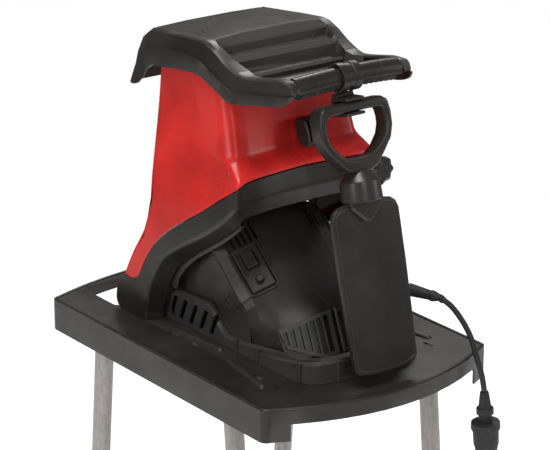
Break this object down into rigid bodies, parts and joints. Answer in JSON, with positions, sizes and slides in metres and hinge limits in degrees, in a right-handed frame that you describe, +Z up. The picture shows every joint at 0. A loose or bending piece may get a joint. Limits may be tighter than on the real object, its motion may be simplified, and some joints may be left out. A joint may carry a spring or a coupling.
{
  "type": "electric garden shredder",
  "caption": "Electric wood chipper with a hinged red feed hopper, black hood, tilted motor, hanging tamper and a wheeled tubular stand.",
  "frame": {"origin": "on the floor, under the middle of the object's box without its cord", "axes": "+Z up, +Y towards the feed opening at the back, the tamper hangs at the front (-Y), +X to the right seen from the front"},
  "size_m": [0.392, 0.5688, 0.93],
  "materials": {
    "black_plastic": "fine grained moulding",
    "red_plastic": "semi-gloss moulding",
    "soft_grip": "matt ribbed",
    "vent_grey": "fine grained",
    "tube_steel": "silver-grey paint",
    "zinc": "bright plated",
    "cast_metal": "as cast",
    "hardened_steel": "ground",
    "winding": "laminations and varnished windings",
    "rubber": "matt"
  },
  "bodies": {
    "stand": {"base_plate": "black_plastic", "leg_front_left": "tube_steel", "leg_front_right": "tube_steel", "leg_rear_left": "tube_steel", "leg_rear_right": "tube_steel", "leg_socket_front_left": "black_plastic", "leg_socket_front_right": "black_plastic", "leg_socket_rear_left": "black_plastic", "leg_socket_rear_right": "black_plastic", "foot_left": "rubber", "foot_right": "rubber", "side_brace_left": "tube_steel", "side_brace_right": "tube_steel", "cross_tube_front": "tube_steel", "cross_tube_rear": "tube_steel", "wheel_axle": "zinc", "motor_housing": "black_plastic", "side_panel_left": "black_plastic", "side_panel_right": "black_plastic", "vent_frame_left": "vent_grey", "vent_frame_right": "vent_grey", "lower_shroud": "black_plastic", "switch_plate": "black_plastic", "terminal_box": "black_plastic", "cord_sleeve": "rubber", "cord": "rubber", "mains_plug": "rubber", "hinge_lug_left": "black_plastic", "hinge_lug_right": "black_plastic", "motor_stator": "winding", "bearing_upper": "zinc", "bearing_lower": "zinc", "cutting_chamber": "cast_metal"},
    "hopper": {"hopper_shell": "red_plastic", "hood": "black_plastic", "carrying_bar": "black_plastic", "grip_strip": "soft_grip", "clip_ring": "black_plastic", "tamper_clip": "black_plastic", "hook_bracket": "black_plastic", "arch_trim": "black_plastic", "feed_chute": "black_plastic", "feed_plate": "cast_metal", "counter_blade": "hardened_steel", "hinge_pin_left": "zinc", "hinge_pin_right": "zinc"},
    "lock": {"locking_knob": "black_plastic", "locking_screw": "zinc"},
    "tamper": {"tamper_handle": "black_plastic", "tamper_neck": "black_plastic", "tamper_paddle": "black_plastic"},
    "cutting_rotor": {"rotor": "hardened_steel", "cooling_fan": "black_plastic", "blade_disc": "hardened_steel", "knife_left": "hardened_steel", "knife_right": "hardened_steel"},
    "left_wheel": {"wheel_left": "black_plastic"},
    "right_wheel": {"wheel_right": "black_plastic"},
    "switch_rocker": {"power_switch": "black_plastic"},
    "overload_reset": {"reset_button": "black_plastic"}
  },
  "joints": [
    {"name": "hopper_hinge", "type": "hinge", "parent": "stand", "child": "hopper", "pos_m": [0, 0.1618, 0.537], "axis": [-1, 0, 0], "range_deg": [0, 70]},
    {"name": "locking_knob_turn", "type": "hinge", "parent": "hopper", "child": "lock", "pos_m": [0.102, -0.096, 0.745], "axis": [0, -1, 0], "continuous": true},
    {"name": "tamper_pull", "type": "slide", "parent": "hopper", "child": "tamper", "axis": [0, -1, 0], "range_m": [0, 0.35]},
    {"name": "blade_spin", "type": "hinge", "parent": "stand", "child": "cutting_rotor", "pos_m": [0, 0.05992, 0.6662], "axis": [0, -0.7547, -0.6561], "continuous": true},
    {"name": "left_wheel_roll", "type": "hinge", "parent": "stand", "child": "left_wheel", "pos_m": [-0.185, -0.17738, 0.075], "axis": [1, 0, 0], "continuous": true},
    {"name": "right_wheel_roll", "type": "hinge", "parent": "stand", "child": "right_wheel", "pos_m": [0.185, -0.17738, 0.075], "axis": [1, 0, 0], "continuous": true},
    {"name": "switch_rock", "type": "hinge", "parent": "stand", "child": "switch_rocker", "pos_m": [-0.06783, -0.04983, 0.64307], "axis": [-0.8888, 0.3007, -0.3459], "range_deg": [-6, 6]},
    {"name": "reset_press", "type": "slide", "parent": "stand", "child": "overload_reset", "axis": [0.4583, 0.5831, -0.6708], "range_m": [0, 0.0025], "stiffness_N_per_m": 400}
  ]
}
